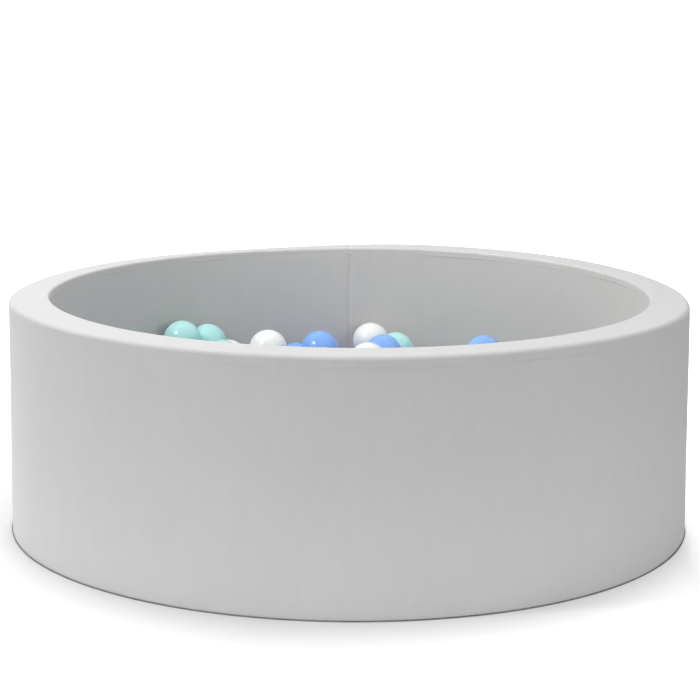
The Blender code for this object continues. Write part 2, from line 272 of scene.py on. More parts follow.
# Light: softboxes given by name, place, width and power, each turned towards the pit
lamp_target = (0, 0, 0.15)
lamps = (
    ("key", (-1.7, -1.1, 1.9), 1.2, 5.4),
    ("top", (-0.3, 0.1, 2.2), 1.4, 21.5),
    ("left_edge", (-1.6, 1.3, 0.8), 0.8, 6.5),
    ("front_right", (1.5, -2.6, 0.9), 1.2, 21.2),
    ("low_left", (-2.2, -0.5, 0.95), 0.8, 6.0),
    ("glint", (-1.45, -0.80, 1.80), 0.20, 9.8),
)
shining_lamps = ("key", "glint", "front_right", "left_edge")
zenith_tilt = math.radians(8.5)
zenith_distance = 60.0
zenith_size = (1.5, 17.5)
zenith_power = 6000.0
sky_strength = 0.35
seen_sky_strength = 1.0

# Floor: each painted glow, light that the floor gives off though it is no lamp, has the distances
# at which it starts and is full, and its strength there. The glows rise away from the pit and
# towards the right, where they lighten the shadow that the lamps cast
floor_size = 60.0
floor_seen_shade = 0.77
floor_painted_glow_away = (0.465, 1.20, 1.0)
floor_painted_glow_right = (-0.10, 0.40, 0.29)
floor_painted_glow_side = (0.43, 0.47, 0.27)
floor_near_shade = 0.95
floor_far_shade = 0.10
floor_near_reach = 0.55
floor_far_reach = 1.8


def map_range(tree, value, start, end, low, high):
    """A value that goes from low to high as another goes from start to end."""
    node = tree.nodes.new("ShaderNodeMapRange")
    for key, number in (("From Min", start), ("From Max", end), ("To Min", low), ("To Max", high)):
        node.inputs[key].default_value = number
    tree.links.new(value, node.inputs["Value"])
    return node.outputs["Result"]


def combine(tree, operation, first, second):
    """The result of a math node on two values."""
    node = tree.nodes.new("ShaderNodeMath")
    node.operation = operation
    tree.links.new(first, node.inputs[0])
    tree.links.new(second, node.inputs[1])
    return node.outputs["Value"]


class Nodes:
    """A short way to write a node material."""

    def __init__(self, name, colour, roughness, **settings):
        self.colour = colour
        self.material = bpy.data.materials.new(name)
        self.material.use_nodes = True
        self.tree = self.material.node_tree
        self.shader = self.tree.nodes["Principled BSDF"]
        self.shader.inputs["Base Color"].default_value = (*colour, 1)
        self.shader.inputs["Roughness"].default_value = roughness
        for key, value in settings.items():
            self.shader.inputs[key.replace("_", " ")].default_value = value
        self.place = self.tree.nodes.new("ShaderNodeTexCoord").outputs["Object"]

    def add(self, kind, **settings):
        """Add a node and set its fields or sockets."""
        node = self.tree.nodes.new(kind)
        for key, value in settings.items():
            if hasattr(node, key):
                setattr(node, key, value)
            else:
                node.inputs[key.replace("_", " ")].default_value = value
        return node

    def link(self, output, target):
        self.tree.links.new(output, target)

    def noise(self, scale, detail=2.0, roughness=0.5, stretch=None):
        """Noise in metres: scale is in features per metre."""
        node = self.add("ShaderNodeTexNoise", Scale=scale, Detail=detail, Roughness=roughness)
        source = self.place
        if stretch:
            mapping = self.add("ShaderNodeMapping", Scale=stretch)
            self.link(source, mapping.inputs["Vector"])
            source = mapping.outputs["Vector"]
        self.link(source, node.inputs["Vector"])
        return node.outputs["Fac"]

    def ramp(self, factor, low, high, start=0.35, end=0.65):
        """A value that goes from low to high as the factor goes from start to end."""
        return map_range(self.tree, factor, start, end, low, high)

    def times(self, first, second):
        return combine(self.tree, "MULTIPLY", first, second)

    def shade(self, factor, inside=None):
        """Vary the base colour by a factor near 1. Inside the wall it may take another colour, a
        painted tint set against bounce light.
        """
        node = self.add("ShaderNodeVectorMath", operation="SCALE")
        node.inputs[0].default_value = self.colour
        if inside:
            flat = self.add("ShaderNodeVectorMath", operation="MULTIPLY")
            flat.inputs[1].default_value = (1, 1, 0)
            self.link(self.place, flat.inputs[0])
            reach = self.add("ShaderNodeVectorMath", operation="LENGTH")
            self.link(flat.outputs["Vector"], reach.inputs[0])
            share = self.ramp(reach.outputs["Value"], 1.0, 0.0, inner_radius - inner_bulge,
                              inner_radius + rim_inner_round)
            change = self.add("ShaderNodeVectorMath", operation="MULTIPLY_ADD")
            change.inputs[1].default_value = [new - old for new, old in zip(inside, self.colour)]
            change.inputs[2].default_value = self.colour
            self.link(share, change.inputs[0])
            self.link(change.outputs["Vector"], node.inputs[0])
        self.link(factor, node.inputs["Scale"])
        self.link(node.outputs["Vector"], self.shader.inputs["Base Color"])

    def bump(self, height, distance, strength=1.0):
        """Bump from a height in units of distance, in metres. Further bumps add to the first."""
        node = self.add("ShaderNodeBump", Distance=distance, Strength=strength)
        self.link(height, node.inputs["Height"])
        normal = self.shader.inputs["Normal"]
        if normal.is_linked:
            self.link(normal.links[0].from_socket, node.inputs["Normal"])
        self.link(node.outputs["Normal"], normal)


def velour(name, colour, inside=None):
    """Short soft pile: fine fibre noise, faint brushing marks, cloudy tone and a light sheen."""
    n = Nodes(name, colour, roughness=0.92, Sheen_Weight=0.25, Sheen_Roughness=0.45,
              Specular_IOR_Level=0.15)
    nap = (1, 1, 0.35)
    cloud = n.ramp(n.noise(scale=7, detail=3), low=0.99, high=1.01)
    marks = n.noise(scale=60, detail=4, roughness=0.6, stretch=nap)
    brushed = n.ramp(marks, low=0.992, high=1.008)
    pile = n.ramp(n.noise(scale=1500, roughness=0.7), low=0.95, high=1.05)
    n.shade(n.times(n.times(cloud, brushed), pile), inside)
    n.bump(n.noise(scale=1100, detail=3, roughness=0.7), distance=0.00022)
    strokes = n.noise(scale=90, detail=3, roughness=0.55, stretch=nap)
    n.bump(strokes, distance=0.0005, strength=0.16)
    return n.material


def woven(name, colour, pitch, roughness=0.85):
    """Plain weave: ribs near the yarn pitch, over a fine noise. The ribs are darker in their
    hollows, partly the yarn's tone and partly painted shade.
    """
    n = Nodes(name, colour, roughness, Sheen_Weight=0.1, Specular_IOR_Level=0.2)
    ribs = n.add("ShaderNodeTexWave", bands_direction="Z", Scale=1 / pitch / rib_divisor,
                 Distortion=1.5)
    n.link(n.place, ribs.inputs["Vector"])
    # Colour follows the ribs' bump: partly yarn tone, partly painted shade in the hollows
    rib_tone_and_painted_shade = n.ramp(ribs.outputs["Fac"], low=0.9, high=1.06, start=0, end=1)
    n.shade(n.times(rib_tone_and_painted_shade, n.ramp(n.noise(scale=900), low=0.93, high=1.07)))
    n.bump(ribs.outputs["Fac"], distance=0.00015)
    return n.material


def foam_material():
    """Open-cell foam, cream and pitted, with painted shade in the pits."""
    n = Nodes("foam_cells", foam_cream, roughness=0.95, Specular_IOR_Level=0.1)
    cells = n.add("ShaderNodeTexVoronoi", Scale=700)
    n.link(n.place, cells.inputs["Vector"])
    # Darker where the cells' bump is low: painted shade in the pits
    n.shade(n.ramp(cells.outputs["Distance"], low=0.8, high=1.05, start=0, end=0.7))
    n.bump(cells.outputs["Distance"], distance=0.0004)
    return n.material


def dotted_underside():
    """Plain cloth with raised non-slip dots."""
    n = Nodes("non_slip_cloth", underside_grey, roughness=0.8, Specular_IOR_Level=0.3)
    dots = n.add("ShaderNodeTexVoronoi", Scale=160, Randomness=0.0)
    n.link(n.place, dots.inputs["Vector"])
    dot = n.ramp(dots.outputs["Distance"], low=1.0, high=0.0, start=0.18, end=0.26)
    dot_shade = n.ramp(dot, low=1.0, high=0.7, start=0, end=1)
    n.shade(n.times(dot_shade, n.ramp(n.noise(scale=900), low=0.9, high=1.1)))
    n.bump(dot, distance=0.0006)
    return n.material


def metal():
    """Satin nickel plate with fine scratches."""
    n = Nodes("zip_nickel", nickel_grey, roughness=0.34, Metallic=1.0)
    scratches = n.noise(scale=500, detail=3, roughness=0.6, stretch=(1, 1, 8))
    n.link(n.ramp(scratches, low=0.26, high=0.42), n.shader.inputs["Roughness"])
    n.shade(n.ramp(n.noise(scale=120), low=0.92, high=1.04))
    n.bump(scratches, distance=0.00003)
    return n.material


def nylon():
    """Smooth nylon, for the zip's coils."""
    n = Nodes("zip_nylon", nylon_grey, roughness=0.38)
    n.shade(n.ramp(n.noise(scale=300), low=0.92, high=1.08))
    n.bump(n.noise(scale=2500), distance=0.00002)
    return n.material


def ball_plastic(name, colour):
    """Blow-moulded soft plastic: glossy, lit slightly from within, a little cloudy and scuffed."""
    n = Nodes(name, colour, roughness=0.24, Subsurface_Weight=0.75, Subsurface_Scale=0.016,
              Specular_IOR_Level=0.75)
    n.shader.inputs["Subsurface Radius"].default_value = (1.0, 0.9, 0.8)
    cloud = n.ramp(n.noise(scale=30, detail=3), low=0.97, high=1.03)
    n.shade(n.times(cloud, n.ramp(n.noise(scale=240, detail=3), low=0.985, high=1.015)))
    scuffs = n.noise(scale=130, detail=4, roughness=0.6)
    n.link(n.ramp(scuffs, low=0.18, high=0.26), n.shader.inputs["Roughness"])
    n.bump(n.noise(scale=170, detail=3), distance=0.00010, strength=0.3)
    return n.material


def to_object(name, verts, faces, material, smooth=True):
    """Make an object of a mesh given as points and faces."""
    mesh = bpy.data.meshes.new(name)
    mesh.from_pydata([tuple(v) for v in verts], [], [tuple(f) for f in faces])
    mesh.validate()
    mesh.update()
    if smooth:
        mesh.shade_smooth()
    mesh.materials.append(material)
    obj = bpy.data.objects.new(name, mesh)
    bpy.context.scene.collection.objects.link(obj)
    return obj


def facing_out(obj):
    """Turn all faces of a closed mesh outwards."""
    bm = bmesh.new()
    bm.from_mesh(obj.data)
    bmesh.ops.recalc_face_normals(bm, faces=bm.faces)
    bm.to_mesh(obj.data)
    bm.free()
    return obj


def tube_faces(rings, points, closed=False):
    """Faces from each ring of points to the next, and from the last to the first if closed."""
    faces = []
    for ring in range(rings if closed else rings - 1):
        after = (ring + 1) % rings
        for k in range(points):
            side = (k + 1) % points
            faces.append((ring * points + k, after * points + k, after * points + side,
                          ring * points + side))
    return faces


def end_faces(rings, points):
    """The two faces that close the ends of a tube."""
    last = (rings - 1) * points
    return [tuple(range(points)), tuple(range(last, last + points))]


def points_at(radii, angles, heights):
    """Points round the pit's axis from grids of radii, angles and heights."""
    points = np.stack((radii * np.cos(angles), radii * np.sin(angles), heights), axis=2)
    return points.reshape(-1, 3)


def dress(obj, body, slot, *nodes):
    """Let a piece ride on a body and stand for CAD nodes. The slot is not used."""
    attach(obj, body)
    if nodes:
        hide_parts(*nodes)
    return obj


def sway(angles, heights, seed=sway_seed, height=sway_height):
    """Slight unevenness of cloth over foam: a smooth sum of waves, seeded."""
    rng = np.random.default_rng(seed)
    total = np.zeros_like(angles)
    for number in range(sway_waves):
        around = rng.integers(*sway_counts)
        along = rng.uniform(*sway_rates)
        share = 1 / (1 + number / sway_fading)
        total += share * np.sin(around * angles + along * heights + rng.uniform(0, full_turn))
    return total * height / 2


def side_seam(angles, radius):
    """Depth of the upright seam where the cover's strip is sewn end to end."""
    away = np.abs((angles - side_seam_angle + math.pi) % full_turn - math.pi) * radius
    return side_seam_depth * np.exp(-(away / side_seam_width) ** 2)


def cloth_angles(radius):
    """Columns round the pit, with more of them at the upright seam."""
    even = np.arange(cloth_columns) * full_turn / cloth_columns
    near = [side_seam_angle + side * step / radius
            for step in side_seam_columns for side in (-1, 1)]
    return np.unique(np.round(np.append(even, near), angle_digits))


def arc(centre, radius, start, end, steps):
    """Points of an arc in a line of radius and height."""
    turn = np.linspace(start, end, steps + 1)
    return [(centre[0] + radius * math.cos(a), centre[1] + radius * math.sin(a)) for a in turn]


def straight(first, last, step=cloth_row):
    """Points along a straight stretch, without the last."""
    count = max(2, round(math.dist(first, last) / step))
    return [tuple(p) for p in np.linspace(first, last, count + 1)[:-1]]


def rolled(line):
    """A cloth's section whose two ends turn in, as they do at a sewn seam."""
    line = [np.array(p, float) for p in line]
    ends = []
    for turn, edge, inner in ((1, line[0], line[1]), (-1, line[-1], line[-2])):
        along = (edge - inner) / np.linalg.norm(edge - inner) * seam_roll
        side = np.array((along[1], -along[0])) * turn
        ends.append([edge - along * seam_roll_reach, edge - along,
                     edge - (along + side) * seam_roll_corner, edge - side])
    return [*ends[0][::-1], *line[1:-1], *ends[1]]


def normals_of(line):
    """Unit normals of a section, to the right of its way."""
    line = np.array(line)
    way = np.gradient(line, axis=0)
    way /= np.linalg.norm(way, axis=1)[:, None]
    return np.column_stack((way[:, 1], -way[:, 0]))


def cloth_ring(name, line, material, open_rows=None, uneven=1.0):
    """A cloth turned from its section. Between the heights open_rows the zip's slot is open."""
    line = np.array(line)
    normals = normals_of(line)
    radius = line[:, 0].max()
    angles = cloth_angles(radius)
    grid_angle, grid_z = np.meshgrid(angles, line[:, 1], indexing="ij")
    off_zip = np.maximum(zip_low - grid_z, grid_z - zip_high)
    seam = side_seam(grid_angle, radius) * np.clip(off_zip / cloth_row, 0, 1)
    rows, columns = len(line), len(angles)
    from_end = np.minimum(np.arange(rows), np.arange(rows)[::-1])
    calm = np.minimum(1, from_end / sway_calm_rows)
    out = (sway(grid_angle, grid_z) * uneven - seam) * calm
    r = line[None, :, 0] + normals[None, :, 0] * out
    z = line[None, :, 1] + normals[None, :, 1] * out
    middles = (line[:-1, 1] + line[1:, 1]) / 2
    faces = []
    for i in range(columns):
        j = (i + 1) % columns
        along_zip = zip_start - zip_slot_slack <= angles[i] < zip_end - zip_slot_slack
        for k in range(rows - 1):
            if open_rows and along_zip and open_rows[0] < middles[k] < open_rows[1]:
                continue
            faces.append((i * rows + k, j * rows + k, j * rows + k + 1, i * rows + k + 1))
    obj = to_object(name, points_at(r, grid_angle, z), faces, material)
    shell = obj.modifiers.new("cloth", "SOLIDIFY")
    shell.thickness = cloth_thickness
    shell.offset = -1
    return obj


def between(angles, stops):
    """A share that rises from 0 to 1 and falls again at four angles, given in degrees."""
    stops = np.radians(stops)
    share = np.interp((angles - stops[0]) % full_turn + stops[0], stops, (0, 1, 1, 0))
    return share ** 2 * (3 - 2 * share)


def give_way(obj):
    """Let a piece of the wall follow the foam, which has sunk in places and is wider below."""
    mesh = obj.data
    co = points_of(mesh)
    angles, radii = np.arctan2(co[:, 1], co[:, 0]), np.hypot(co[:, 0], co[:, 1])
    across = np.clip((radii - inner_radius) / (pit_radius - inner_radius), 0, 1)
    wider = wide_foot * between(angles, wide_angles) * across * (1 - co[:, 2] / pit_height)
    co[:, :2] *= (1 + wider / np.maximum(radii, inner_radius))[:, None]
    up = np.clip((co[:, 2] - sunk_from_height) / (pit_height - sunk_from_height), 0, 1)
    for stops, outer, inner in sunk_places:
        co[:, 2] -= between(angles, stops) * (inner + (outer - inner) * across) * up
    mesh.vertices.foreach_set("co", co.ravel())
    mesh.update()
    return obj


def outer_line():
    """The outer cover's section, from its hem up to the seam under the rim, and the zip's slot."""
    slot = (zip_middle - zip_slot_half, zip_middle + zip_slot_half)
    hem_centre = (pit_radius - hem_round, hem_round + hem_height)
    hem = arc(hem_centre, hem_round, -full_turn / 4, 0, hem_steps)
    stops = [hem[-1][1], *slot, outer_seam_height]
    line = [(pit_radius - 3 * hem_round, hem_height), *hem[:-1]]
    for low, high in zip(stops, stops[1:]):
        line += straight((pit_radius, low), (pit_radius, high))
    return [*line, (pit_radius, outer_seam_height)], slot


def rim_line():
    """The rim cover's section, from the outer seam over the top to the inner seam."""
    outer_centre = (pit_radius - rim_outer_round, pit_height - rim_outer_round)
    edge = inner_radius - inner_bulge
    inner_centre = (edge + rim_inner_round, pit_height - rim_inner_round)
    line = straight((pit_radius, outer_seam_height), (pit_radius, outer_centre[1]), rim_side_row)
    line += arc(outer_centre, rim_outer_round, 0, full_turn / 4, rim_outer_steps)[:-1]
    line += straight((outer_centre[0], pit_height), (inner_centre[0], pit_height), rim_top_row)
    line += arc(inner_centre, rim_inner_round, full_turn / 4, full_turn / 2, rim_inner_steps)[:-1]
    line += straight((edge, inner_centre[1]), (edge, inner_seam_height), rim_side_row)
    return [*line, (edge, inner_seam_height)]


def inner_line():
    """The inner cover's section, from the seam under the rim down to the base."""
    foot = (inner_radius, inner_foot_height)
    return [*straight((inner_radius - inner_bulge, inner_seam_height), foot), foot]


def make_covers(cloth, rim_cloth, inner_cloth, underside):
    """The outer, rim and inner covers and the cloth under the pit."""
    line, slot = outer_line()
    outer = give_way(cloth_ring("outer_cover_cloth", rolled(line)[1:], cloth, open_rows=slot))
    dress(outer, "pit", "velour", "outer_wall_cover")
    rim = give_way(cloth_ring("rim_cover_cloth", rolled(rim_line()), rim_cloth,
                              uneven=rim_uneven_share))
    dress(rim, "pit", "velour", "rim_cover")
    inner = give_way(cloth_ring("inner_cover_cloth", rolled(inner_line()), inner_cloth))
    dress(inner, "pit", "velour", "inner_wall_cover")
    edge = hem_round / 2
    # The dark cloth sticks out past the foot: a real edge of the base, and also a painted dark line
    # for the contact shadow there
    lip = pit_radius + base_shadow_lip
    section = [(0.0, 0.0), *straight((base_middle, 0.0), (lip - edge, 0.0), base_row),
               *arc((lip - edge, edge), edge, -full_turn / 4, full_turn / 4, base_edge_steps),
               *straight((lip - base_edge_run, 2 * edge), (base_middle, 2 * edge), base_row),
               (0.0, 2 * edge)]
    base = give_way(disc("base_cloth", section, underside, base_columns))
    dress(base, "pit", "underside", "base_cover")


def disc(name, section, material, columns, change=None):
    """A closed solid turned from a section that starts and ends on the axis."""
    section = np.array(section)
    angles = np.arange(columns) * full_turn / columns
    body = section[1:-1]
    grid_angle, grid_r = np.meshgrid(angles, body[:, 0], indexing="ij")
    grid_z = np.broadcast_to(body[:, 1], grid_r.shape)
    if change:
        grid_z = change(grid_angle, grid_r, grid_z)
    verts = points_at(grid_r, grid_angle, grid_z)
    rows = len(body)
    low, high = len(verts), len(verts) + 1
    verts = np.vstack((verts, (0, 0, section[0][1]), (0, 0, section[-1][1])))
    faces = []
    for i in range(columns):
        j = (i + 1) % columns
        faces.append((i * rows, low, j * rows))
        faces.append((i * rows + rows - 1, j * rows + rows - 1, high))
        for k in range(rows - 1):
            faces.append((i * rows + k, j * rows + k, j * rows + k + 1, i * rows + k + 1))
    return facing_out(to_object(name, verts, faces, material))


def bow(name, section, start, end, steps, material):
    """A section run round the pit from one angle to another, with closed ends."""
    verts = []
    for step in range(steps + 1):
        angle = start + (end - start) * step / steps
        verts += [(r * math.cos(angle), r * math.sin(angle), z) for r, z in section]
    faces = tube_faces(steps + 1, len(section)) + end_faces(steps + 1, len(section))
    return facing_out(to_object(name, verts, faces, material, smooth=False))


def make_foam(material):
    """The four foam segments under the covers."""
    outer_centre = (foam_outer - foam_outer_round, foam_top - foam_outer_round)
    inner_centre = (foam_inner + foam_inner_round, foam_top - foam_inner_round)
    section = [
        *arc(outer_centre, foam_outer_round, 0, full_turn / 4, foam_outer_steps),
        *arc(inner_centre, foam_inner_round, full_turn / 4, full_turn / 2, foam_inner_steps),
        (foam_inner, foam_foot), (foam_outer, foam_foot)]
    sweep = full_turn / foam_segments
    gap = foam_gap / foam_outer
    for number in range(1, foam_segments + 1):
        start = (number - 1) * sweep
        segment = give_way(bow(f"foam_segment_{number}", section, start + gap,
                               start + sweep - gap, foam_columns, material))
        dress(segment, "pit", "foam", f"foam_wall_{number}")


def along_zip(count, radius, height, shift=0):
    """Position and turn of small pieces spaced along the zip: X is out, Y runs along it."""
    angles = [zip_start + (n + 0.5 + shift) * (zip_end - zip_start) / count for n in range(count)]
    return [Matrix.Rotation(angle, 4, "Z") @ Matrix.Translation((radius, 0, height))
            for angle in angles]


def repeat(points, faces, placings):
    """One mesh of many copies of a small one."""
    points = np.array(points)
    verts = []
    for m in placings:
        m = np.array(m)
        verts.append(points @ m[:3, :3].T + m[:3, 3])
    count = len(points)
    all_faces = [tuple(v + count * n for v in face) for n in range(len(placings)) for face in faces]
    return np.vstack(verts), all_faces


def tooth(side):
    """One turn of the coil, seen from outside: a rounded bar across the tape with a fuller head."""
    stations = ((0.0, 0.62), (0.12, 0.95), (0.3, 1.0), (0.8, 0.85), (1.0, 0.35))
    points = []
    for share, size in stations:
        z = side * (tooth_clear + share * tooth_width)
        for k in range(tooth_sides):
            turn = math.pi * k / (tooth_sides - 1)
            points.append((tooth_height * size * math.sin(turn),
                           -tooth_length / 2 * size * math.cos(turn), z))
    rings = len(stations)
    return points, tube_faces(rings, tooth_sides) + end_faces(rings, tooth_sides)


def stitch():
    """A short thread lying along Y, thinner at its ends."""
    stations = ((-0.5, 0.25), (-0.42, 0.8), (-0.25, 1.0), (0.25, 1.0), (0.42, 0.8), (0.5, 0.25))
    turns = [full_turn * k / stitch_sides for k in range(stitch_sides)]
    points = [(stitch_radius * size * math.cos(turn), share * stitch_length,
               stitch_radius * size * math.sin(turn)) for share, size in stations for turn in turns]
    rings = len(stations)
    return points, tube_faces(rings, stitch_sides) + end_faces(rings, stitch_sides)


def make_zip(tape_cloth, coil_plastic, nickel, thread):
    """Tapes, coils, end stops and the rows of stitches that hold the tapes."""
    steps = round((zip_end - zip_start) / full_turn * cloth_columns)
    outer = tape_radius + tape_thickness
    count = int((zip_end - zip_start) * tape_radius / tooth_pitch)
    for name, side in (("upper", 1), ("lower", -1)):
        edges = sorted((zip_middle + side * tape_edge, (zip_high if side > 0 else zip_low)))
        section = ((tape_radius, edges[0]), (outer, edges[0]), (outer, edges[1]),
                   (tape_radius, edges[1]))
        tape = bow(f"zip_tape_cloth_{name}", section, zip_start, zip_end, steps, tape_cloth)
        dress(tape, "pit", "zip_cloth", f"zip_tape_{name}")
        places = along_zip(count, outer, zip_middle, tooth_shift * side)
        coil = to_object(f"zip_teeth_{name}", *repeat(*tooth(side), places), coil_plastic)
        dress(facing_out(coil), "pit", "zip_plastic", f"zip_coil_{name}")
    outer = pit_radius + stitch_radius * stitch_stand
    count = int((zip_end - zip_start) * outer / stitch_pitch)
    for name, side in (("upper", 1), ("lower", -1)):
        places = along_zip(count, outer, zip_middle + side * (zip_slot_half + stitch_inset))
        row = to_object(f"zip_stitches_{name}", *repeat(*stitch(), places), thread)
        dress(facing_out(row), "pit", "velour")
    for name in ("start", "end"):
        finish_node(f"zip_stop_{name}", nickel, metal_bevel)


def finish_node(node, material, bevel):
    """Give a CAD node its material and slightly rounded edges."""
    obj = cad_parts[node]
    obj.data.materials.clear()
    obj.data.materials.append(material)
    edges = obj.modifiers.new("edges", "BEVEL")
    edges.width = bevel
    edges.segments = 2
    edges.limit_method = "ANGLE"
    return obj


def mat_height(share):
    """Half thickness of the mat, as a share, at a share of its radius."""
    crown = 1 - mat_crown + mat_crown * (1 - share ** 2)
    return crown * np.maximum(1 - share ** mat_edge_power, 0) ** (1 / mat_edge_power)


def make_mat(cloth, underside, foam):
    """Floor mat: a puckered top, a plain underside, the piping at their seam and the core."""
    shares = 1 - (1 - np.linspace(0, 1, mat_rings)) ** mat_ring_power

    def side_section(side, skin):
        radii = (mat_seam_radius - skin) * shares
        heights = mat_seam_half + (mat_half - skin) * mat_height(shares)
        return list(zip(radii, mat_middle + side * heights))

    def top_change(angle, r, z):
        reach = np.exp(-(mat_seam_radius - r) / pucker_reach)
        rng = np.random.default_rng(sway_seed + 1)
        wave = sum(np.sin(pucker_waves * share * angle + rng.uniform(0, full_turn))
                   for share in pucker_shares) / len(pucker_shares)
        share = np.clip((z - mat_middle) / mat_half, 0, 1)
        calm = np.clip(r / mat_calm_radius, 0, 1) ** 2
        dip = np.minimum(sway(angle, r, sway_seed + 2, mat_sag), 0) * calm
        return z + share * (pucker_height * (wave - 1) * reach + dip)

    for name, side, finish, slot, node, change in (
            ("mat_top_panel", 1, cloth, "velour", "mat_top_cover", top_change),
            ("mat_bottom_panel", -1, underside, "underside", "mat_bottom_cover", None)):
        section = [*side_section(side, 0), *side_section(side, mat_cloth)[::-1]]
        panel = disc(name, section, finish, mat_columns, change)
        dress(panel, "mat", slot, node)
    skin = mat_cloth + core_gap + pucker_height * 2
    core = disc("mat_core", [*side_section(-1, skin), *side_section(1, skin)[::-1]], foam,
                core_columns)
    dress(core, "mat", "foam", "mat_foam")
    ring = arc((piping_ring_radius, mat_middle), piping_radius, 0, full_turn, piping_sides)[:-1]
    turns = [full_turn * i / mat_columns for i in range(mat_columns)]
    verts = [(r * math.cos(turn), r * math.sin(turn), z) for turn in turns for r, z in ring]
    faces = tube_faces(mat_columns, piping_sides, closed=True)
    piping = facing_out(to_object("mat_edge_piping", verts, faces, cloth))
    dress(piping, "mat", "velour", "mat_piping")


def in_pitches(length):
    """A length counted in ball pitches."""
    return np.round(np.asarray(length) / ball_pitch, pitch_digits)


def across_pit(shares):
    """Shares of the inner radius, counted in ball pitches."""
    return in_pitches(np.array(shares) * heap_inner_radius)


def mat_rest(places):
    """Height of a ball's centre where it lies on the mat."""
    shares = np.array(crown_shares)
    radii = in_pitches(heap_mat_radius * shares[:, 0])
    heights = in_pitches(heap_mat_middle + heap_mat_half * shares[:, 1] + fit_gap + ball_radius)
    return np.interp(np.hypot(places[:, 0], places[:, 1]), radii, heights)


def touch_heights(places, balls):
    """Height of a ball's centre at each place where it first touches the mat or a ball below."""
    offsets = balls[None, :, :2] - places[:, None, :]
    under = 1 - (offsets ** 2).sum(axis=2)
    tops = np.where(under > 0, balls[None, :, 2] + np.sqrt(np.maximum(under, 0)), 0)
    return np.maximum(tops.max(axis=1), mat_rest(places))


def settle(place, balls):
    """Let a ball roll downhill from a place until it lies in a hollow."""
    limit = in_pitches(heap_radius)
    turns = np.arange(roll_ways) * full_turn / roll_ways
    ways = np.column_stack((np.cos(turns), np.sin(turns)))
    height = touch_heights(place[None], balls)[0]
    step = first_step_share
    while step > last_step_share:
        spots = place + ways * step
        reach = np.hypot(spots[:, 0], spots[:, 1])
        spots *= np.minimum(1, limit / reach)[:, None]
        heights = touch_heights(spots, balls)
        lowest = heights.argmin()
        if heights[lowest] < height - level_share:
            place, height = spots[lowest], heights[lowest]
        else:
            step /= 2
    return np.append(place, height)


def pyramid():
    """A close-packed stack with the blue ball on top, in pitches."""
    rise = math.sqrt(2 / 3)
    lowest = in_pitches(heap_mat_middle + heap_mat_half + fit_gap + ball_radius)
    top = lowest + (heap_layers - 1) * rise
    place = across_pit(blue_ball_shares)
    across = np.array((math.cos(heap_turn_angle), math.sin(heap_turn_angle)))
    back = np.array((-math.sin(heap_turn_angle), math.cos(heap_turn_angle)))
    balls = []
    for layer in range(heap_layers):
        corner = place - layer * (across / 2 + back / (2 * math.sqrt(3)))
        for row in range(layer + 1):
            for column in range(layer + 1 - row):
                spot = corner + across * (column + row / 2) + back * row * math.sqrt(3) / 2
                balls.append((*spot, top - layer * rise))
    return np.array(balls)


def heap():
    """Centres of all the balls, in metres."""
    rng = np.random.default_rng(heap_seed)
    balls = pyramid()
    limit = in_pitches(heap_radius)
    shown = [0, mint_ball_order]
    while len(balls) < ball_count:
        if len(balls) == mint_ball_order:
            spot = across_pit(mint_drop_shares)
        else:
            spread = rng.normal(size=2) * across_pit(fill_spread_shares)
            spot = across_pit(fill_centre_shares) + spread
            if math.hypot(*spot) > limit:
                continue
        ball = settle(spot, balls)
        on_top = [math.dist(ball[:2], balls[k][:2]) < 1 and ball[2] > balls[k][2]
                  for k in shown if k < len(balls)]
        if not any(on_top):
            balls = np.vstack((balls, ball))
    return balls * ball_pitch


def ball_shape():
    """A blow-moulded ball: a fine raised mould line round its middle and a dimple at the gate."""
    equator = full_turn / 4
    lines = mould_line_width / 2 / ball_radius
    gate = gate_radius / ball_radius
    tilts = [gate * gate_floor_share, gate,
             *np.linspace(gate * gate_foot_share, equator - mould_line_foot * lines, ball_rings),
             equator - lines, equator]
    tilts += [full_turn / 2 - t for t in tilts[-2::-1]]
    radii = [ball_radius] * len(tilts)
    radii[0] -= gate_depth
    radii[len(tilts) // 2] += mould_line_height
    turns = [full_turn * k / ball_segments for k in range(ball_segments)]
    points = [(0, 0, ball_radius - gate_depth)]
    for radius, tilt in zip(radii, tilts):
        points += [(radius * math.sin(tilt) * math.cos(turn),
                    radius * math.sin(tilt) * math.sin(turn),
                    radius * math.cos(tilt)) for turn in turns]
    points.append((0, 0, -ball_radius))
    last = len(points) - 1
    first = last - ball_segments
    faces = [(0, 1 + k, 1 + (k + 1) % ball_segments) for k in range(ball_segments)]
    faces += [tuple(v + 1 for v in face) for face in tube_faces(len(tilts), ball_segments)]
    faces += [(first + (k + 1) % ball_segments, first + k, last) for k in range(ball_segments)]
    return points, faces


def make_balls(plastics):
    """Every ball of the heap: the loose ones ride on their own bodies, the rest on the bed."""
    centres = heap()
    rng = np.random.default_rng(heap_seed + 1)
    turns = [Matrix(np.linalg.qr(rng.normal(size=(3, 3)))[0].tolist()).to_4x4() for _ in centres]
    for turn in turns:
        if turn.determinant() < 0:
            turn.col[0].negate()
    placings = [Matrix.Translation(centre) @ turn for centre, turn in zip(centres, turns)]
    points, faces = ball_shape()
    taken = set()
    for node in sorted(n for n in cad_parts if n.startswith("ball_") and n != "ball_bed"):
        low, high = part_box(node)
        seat = (low + high) / 2
        k = int(np.argmin(np.linalg.norm(centres - np.array(seat), axis=1)))
        taken.add(k)
        number = int(node[-2:]) - 1
        colour = loose_colours[number % len(loose_colours)]
        copy = repeat(points, faces, [placings[k]])
        ball = facing_out(to_object(f"play_{node}", *copy, plastics[colour]))
        dress(ball, f"loose_{node}", f"ball_{colour}", node)
    rest = [placing for k, placing in enumerate(placings) if k not in taken]
    for share, colour in enumerate(heap_colours):
        copies = repeat(points, faces, rest[share::len(heap_colours)])
        group = to_object(f"heap_balls_{share + 1}_{colour}", *copies, plastics[colour])
        dress(facing_out(group), "bed", f"ball_{colour}", "ball_bed")


